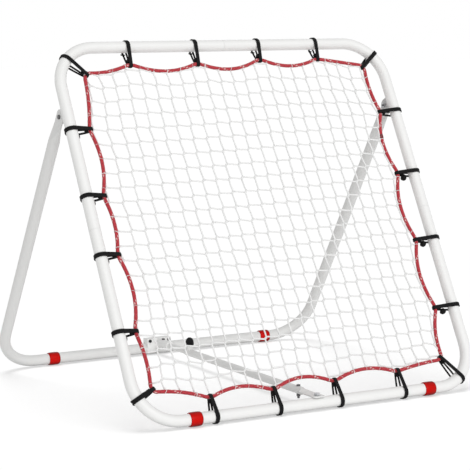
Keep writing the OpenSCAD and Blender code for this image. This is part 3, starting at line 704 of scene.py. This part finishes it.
def belt(tube_r, rope_r, reach, front_z, back_z, wobble):
    """Closed belt round tube and rope: points (x, y, z) and outward normals (x, y).

    x runs from the tube to the rope, y behind the net and z along the tube. The front run lies at
    front_z and the back run at back_z.
    """
    a0 = math.acos((tube_r - rope_r) / reach)   # where the straight runs touch both circles
    cos, sin = math.cos(a0), math.sin(a0)
    pts, normals = [], []

    def put(x, y, z, nx, ny):
        pts.append((x, y, z))
        normals.append((nx, ny))

    def straight(t, side, z):
        """A straight run's point at share t of the way from tube to rope."""
        x = tube_r * cos + (reach + rope_r * cos - tube_r * cos) * t
        y = tube_r * sin + (rope_r - tube_r) * sin * t
        put(x, side * y, z, cos, side * sin)

    tube_steps, rope_steps, run_steps = 22, 10, 8
    for s in range(tube_steps + 1):
        angle = -a0 - (math.tau - 2 * a0) * s / tube_steps
        part = max(0.0, s / tube_steps - 0.5) * 2   # the strands part behind the tube only
        part = part * part * (3 - 2 * part)
        r = tube_r + 0.0003 * math.sin(3 * angle + wobble)
        z = front_z + (back_z - front_z) * part
        put(r * math.cos(angle), r * math.sin(angle), z, math.cos(angle), math.sin(angle))
    for s in range(1, run_steps):
        t = s / run_steps
        straight(t, 1, back_z * (1 - 0.55 * t * t))
    for s in range(rope_steps + 1):
        t = s / rope_steps
        angle = a0 - 2 * a0 * t
        z = back_z * 0.45 * (1 - t) + front_z * 0.8 * t
        put(reach + rope_r * math.cos(angle), rope_r * math.sin(angle), z, math.cos(angle), math.sin(angle))
    for s in range(1, run_steps):
        t = 1 - s / run_steps
        straight(t, -1, front_z * (1 - 0.2 * t))
    return pts, normals


def tie(index, knot, tube_point, node):
    """One elastic tie: two strands round tube and rope, a hitch, a knotted end on the left, right and top
    ties but the bare one, and a turn over the rope.
    """
    draw = random.Random(100 + index)
    centre = in_frame(tube_point.x, tube_point.y)
    at_rope = in_frame(knot.x, knot.y)
    ex = (at_rope - centre).normalized()
    ey = NORMAL
    ez = ex.cross(ey)
    reach = (at_rope - centre).length
    sweep = Sweep()

    def spot(x, y, z):
        return centre + ex * x + ey * y + ez * z

    def strand_loop(front_z, back_z, wobble):
        pts, normals = belt(TUBE_R + TUBE_GAP + ELASTIC_T, ROPE_R + ROPE_GAP + ELASTIC_T, reach,
                            front_z, back_z, wobble)
        sweep.tube([spot(*p) for p in pts], ELASTIC_W, sides=10, closed=True, flat=ELASTIC_T / ELASTIC_W,
                   normals=[ex * nx + ey * ny for nx, ny in normals])

    spread = SPREAD + draw.uniform(-0.001, 0.0015)
    strand_loop(-STRAND_Z, -spread, draw.uniform(0, 6))
    strand_loop(STRAND_Z, spread * 0.8, draw.uniform(0, 6))
    # hitch beside the rope: two tight turns round both runs
    hitch_x = reach - ROPE_R - HITCH_GAP
    for phase, off in enumerate((-HITCH_APART, HITCH_APART)):
        turn = circle(TURN_STEPS, lambda a: spot(hitch_x + off + SLANT * math.sin(a + phase),
                                                 HITCH_HALF_Y * math.sin(a), HITCH_HALF_Z * math.cos(a)))
        sweep.tube(turn, TURN_R, closed=True)
    # the cord's knotted end hangs from the back run
    if node in TAILS and index != BARE_TIE:
        side, length, fat, out = TAILS[node]
        length *= draw.uniform(0.85, 1.15)
        at = spot(TUBE_R + out, TAIL_Y, side * spread * 0.9)
        way = (ez * side - ey * 0.2).normalized()
        sweep.tube([at - way * 0.002, at + way * length * 0.3, at + way * length * 0.65 + ex * 0.0006,
                    at + way * length], lambda t: fat * (1 - 0.45 * (2 * t - 1) ** 2))
    # and one turn over the rope itself
    turn = circle(TURN_STEPS, lambda a: at_rope + (ex * math.cos(a) + ey * math.sin(a)) * ROPE_TURN_R
                  + ez * (SLANT * math.sin(2 * a)))
    sweep.tube(turn, ROPE_TURN_CORD, closed=True)
    return sweep.done("elastic_tie_%02d" % index, M_TIE, "net_frame", slot="black_elastic")


groups = {}
for index, (knot, _, tube_point, node) in enumerate(KNOTS):
    groups.setdefault(node, []).append(tie(index, knot, tube_point, node))
for node, pieces in groups.items():
    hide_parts(node)


# ---------------------------------------- red rings, shorter than the CAD's
# node, body, the tube's y and the ring's shift along the tube
RINGS = (("front_foot_left", "net_frame", FRONT_Y, -0.0040),
         ("front_foot_right", "net_frame", FRONT_Y, -0.0040),
         ("rear_foot_left", "rear_leg", REAR_Y, -0.0035),
         ("rear_foot_right", "rear_leg", REAR_Y, 0.0))
RING_LEN, RING_CROWN = 0.0315, 0.0008
RING_GAP, RING_EDGE = 0.0001, 0.0008            # over the tube, and rounding at the ends
EDGE_FROM = 0.80                                # share of the half length where the rounding starts
RING_TURNS, RING_STEPS = 64, 16


def ring_section():
    """Points (along, radius) of a ring's section: the crowned outside, then the bore."""
    section = []
    for i in range(RING_STEPS + 1):
        t = -1 + 2 * i / RING_STEPS
        edge = max(0.0, abs(t) - EDGE_FROM) / (1 - EDGE_FROM)
        section.append((t * RING_LEN / 2, AXIS_Z - RING_CROWN * t * t - RING_EDGE * edge * edge))
    return section + [(RING_LEN / 2, TUBE_R + RING_GAP), (-RING_LEN / 2, TUBE_R + RING_GAP)]


def ring_foot(name, body, y, shift):
    """A slightly crowned ring with rounded ends, turned about the tube's axis."""
    low, high = node_span(name)
    middle = (low.x + high.x) / 2 + shift
    section = ring_section()
    sweep = Sweep()
    rows = []
    for k in range(RING_TURNS):
        angle = math.tau * k / RING_TURNS
        sin, cos = math.sin(angle), math.cos(angle)
        spots = [(middle + along, y + r * sin, AXIS_Z - r * cos) for along, r in section]
        rows.append([sweep.mesh.verts.new(at) for at in spots])

    def ring_uv(row, place):
        return section[place % len(section)][0], row / RING_TURNS

    sweep.skin(rows, True, ring_uv, RING_STEPS)
    sweep.done(name + "_crowned", M_RED, body, name, slot="red_ring")


for name, body, y, shift in RINGS:
    ring_foot(name, body, y, shift)


# ---------------------------------------- weld beads round the lugs' feet
BEAD_X, BEAD_B, BEAD_STEP = 2.75, 18, 3         # millimetres: its half width, half length and points
BEAD_END = ((1.4, 18.6), (-1.4, 18.6))          # its rounded ends, in millimetres
BEAD_R, BEAD_RISE = 0.00085, 0.0002
RIPPLE_LEN, RIPPLE = 0.0024, 0.12


def bead_outline():
    """Points (x, b) round a lug's foot, in millimetres from its middle."""
    side = [(BEAD_X, b) for b in range(BEAD_B, -BEAD_B - 1, -BEAD_STEP)]
    half = side + [(x, -b) for x, b in BEAD_END]
    return half + [(-x, -b) for x, b in half]


def ripple(along, angle):
    return 1 + RIPPLE * math.sin(math.tau * along / RIPPLE_LEN)


def weld_beads():
    """A rippled bead on the tube round each lug's foot."""
    sweep = Sweep()
    for side in (-1, 1):
        pts = []
        for x, b in bead_outline():
            behind = math.sqrt(TUBE_R ** 2 - (x / 1000) ** 2) + BEAD_RISE
            pts.append(in_frame(side * SIDE_X + x / 1000, LUG_B + b / 1000, behind))
        dense = [p.lerp(pts[(i + 1) % len(pts)], j / 3) for i, p in enumerate(pts) for j in range(3)]
        sweep.tube(dense, BEAD_R, closed=True, shape=ripple)
    # the beads take the lugs' grey painted shade
    sweep.done("lug_weld_beads", M_LUG_SHADED, "net_frame", slot="white_paint")


weld_beads()


# ---------------------------------------- knob with a domed, lightly lobed head
# share of the head's height, radius in millimetres
KNOB = ((0.0, 7.6), (0.04, 9.4), (0.12, 10.7), (0.24, 11.4), (0.38, 11.5), (0.54, 11.1), (0.68, 10.2),
        (0.80, 8.9), (0.90, 7.0), (0.97, 4.4), (1.0, 1.5))
KNOB_H, STUD_R, STUD_IN = 0.025, 0.004, 0.002   # the stud ends STUD_IN inside the head
LOBES, LOBE_DEPTH = 6, 0.035
# the lobes are deepest at this way along the head's outline, and fade over this length
LOBE_AT, LOBE_FADE = 0.009, 0.008


def lobed(along, angle):
    return 1 + LOBE_DEPTH * math.cos(LOBES * angle) * math.exp(-((along - LOBE_AT) / LOBE_FADE) ** 2)


def rounded_knob():
    """The head and its stud, on the axis of the CAD's knob."""
    low, high = node_span("clamp_knob")
    axis = (low + high) / 2
    base = high.z - KNOB_H
    stud_len = base + STUD_IN - low.z
    head = [Vector((axis.x, axis.y, base + share * KNOB_H)) for share, _ in KNOB]
    stud = [Vector((axis.x, axis.y, low.z + stud_len * i / 4)) for i in range(5)]
    sweep = Sweep()
    sweep.tube(head, lambda t: KNOB[round(t * (len(KNOB) - 1))][1] / 1000, sides=48, shape=lobed)
    sweep.tube(stud, STUD_R, sides=24)
    sweep.done("clamp_knob_rounded", M_KNOB, "knob", "clamp_knob", slot="black_plastic")


rounded_knob()


# ---------------------------------------- splice sleeve, slimmer than the CAD's and higher
SLEEVE_R, SLEEVE_TAPER = 0.0056, 0.16


def splice_sleeve():
    """A band round four steps of the rope, thinner towards its ends."""
    low, high = node_span("rope_splice")
    near = min(range(len(ROUTE)), key=lambda i: (ROUTE[i] - (low + high) / 2).length)
    sweep = Sweep()
    sweep.tube(ROUTE[near - 3:near + 2], lambda t: SLEEVE_R * (1 - SLEEVE_TAPER * (2 * t - 1) ** 4), sides=16)
    sweep.done("rope_splice_band", M_SLEEVE, "net_frame", "rope_splice", slot="dark_sleeve")


splice_sleeve()


# ---------------------------------------- studio
EVEN_LIGHT = 0.50                               # the world's strength
FLOOR_LAMP, KEY_LAMP = 1.40, 1.60
FLOOR_TONE, FLOOR_HALF = 0.93, 30
FLOOR_LIT = 0.62                                # share of the floor's look that is lit; the rest glows
WHITE = 1.02                                    # the floor's level where no shadow falls
FLOOR_GLOW = (WHITE - FLOOR_LIT * FLOOR_TONE * (EVEN_LIGHT + FLOOR_LAMP / math.pi)) / (1 - FLOOR_LIT)


def seen(tree):
    """1 for rays that show something: from the camera, mirrored or passing through."""
    path = tree.nodes.new("ShaderNodeLightPath").outputs
    bent = maths(tree, "MAXIMUM", path["Is Glossy Ray"], path["Is Transmission Ray"])
    return maths(tree, "MAXIMUM", path["Is Camera Ray"], bent)


def blend(tree, share, first, second, output):
    """Joins two shaders into the material's or the world's output."""
    node = tree.nodes.new("ShaderNodeMixShader")
    tree.links.new(share, node.inputs[0])
    tree.links.new(first.outputs[0], node.inputs[1])
    tree.links.new(second.outputs[0], node.inputs[2])
    tree.links.new(node.outputs[0], tree.nodes[output].inputs["Surface"])


def add_floor():
    mat, tree, shader = new_material("studio_floor")
    tree.nodes.remove(shader)
    lit = add(tree, "ShaderNodeBsdfDiffuse", Color=(FLOOR_TONE, FLOOR_TONE, FLOOR_TONE, 1))
    glow = add(tree, "ShaderNodeEmission", Color=(1, 1, 1, 1), Strength=FLOOR_GLOW)
    blend(tree, maths(tree, "MULTIPLY", seen(tree), 1 - FLOOR_LIT), lit, glow, "Material Output")
    data = bpy.data.meshes.new("floor")
    corners = [(x * FLOOR_HALF, y * FLOOR_HALF, 0) for x, y in ((-1, -1), (1, -1), (1, 1), (-1, 1))]
    data.from_pydata(corners, [], [(0, 1, 2, 3)])
    data.materials.append(mat)
    ob = bpy.data.objects.new("floor", data)
    bpy.context.scene.collection.objects.link(ob)
    return ob


def add_world():
    """Even light of its own strength, seen as plain white."""
    world = bpy.data.worlds.new("studio")
    bpy.context.scene.world = world
    world.use_nodes = True
    tree = world.node_tree
    even = tree.nodes["Background"]
    even.inputs["Color"].default_value = (1, 1, 1, 1)
    even.inputs["Strength"].default_value = EVEN_LIGHT
    backdrop = add(tree, "ShaderNodeBackground", Color=(1, 1, 1, 1), Strength=1.0)
    blend(tree, seen(tree), even, backdrop, "World Output")


def add_sun(name, toward, power, spread, receivers, state):
    """A soft lamp far off in the direction toward, spread degrees wide.

    state says whether it lights only receivers, INCLUDE, or everything else, EXCLUDE.
    """
    data = bpy.data.lights.new(name, "SUN")
    data.energy = power
    data.angle = math.radians(spread)
    lamp = bpy.data.objects.new(name, data)
    bpy.context.scene.collection.objects.link(lamp)
    lamp.rotation_euler = Vector(toward).to_track_quat("Z", "Y").to_euler()
    group = bpy.data.collections.new(name + "_receivers")
    group.objects.link(receivers)
    group.collection_objects[0].light_linking.link_state = state
    lamp.light_linking.receiver_collection = group


floor = add_floor()
add_world()
# the key stands beside the camera and leaves the floor alone; the lamp over the floor lights nothing else
add_sun("key", (-0.07, -0.845, 0.53), KEY_LAMP, 60, floor, "EXCLUDE")
add_sun("floor_lamp", (0.0, 0.12, 0.99), FLOOR_LAMP, 30, floor, "INCLUDE")
bpy.context.scene.view_settings.view_transform = "Standard"
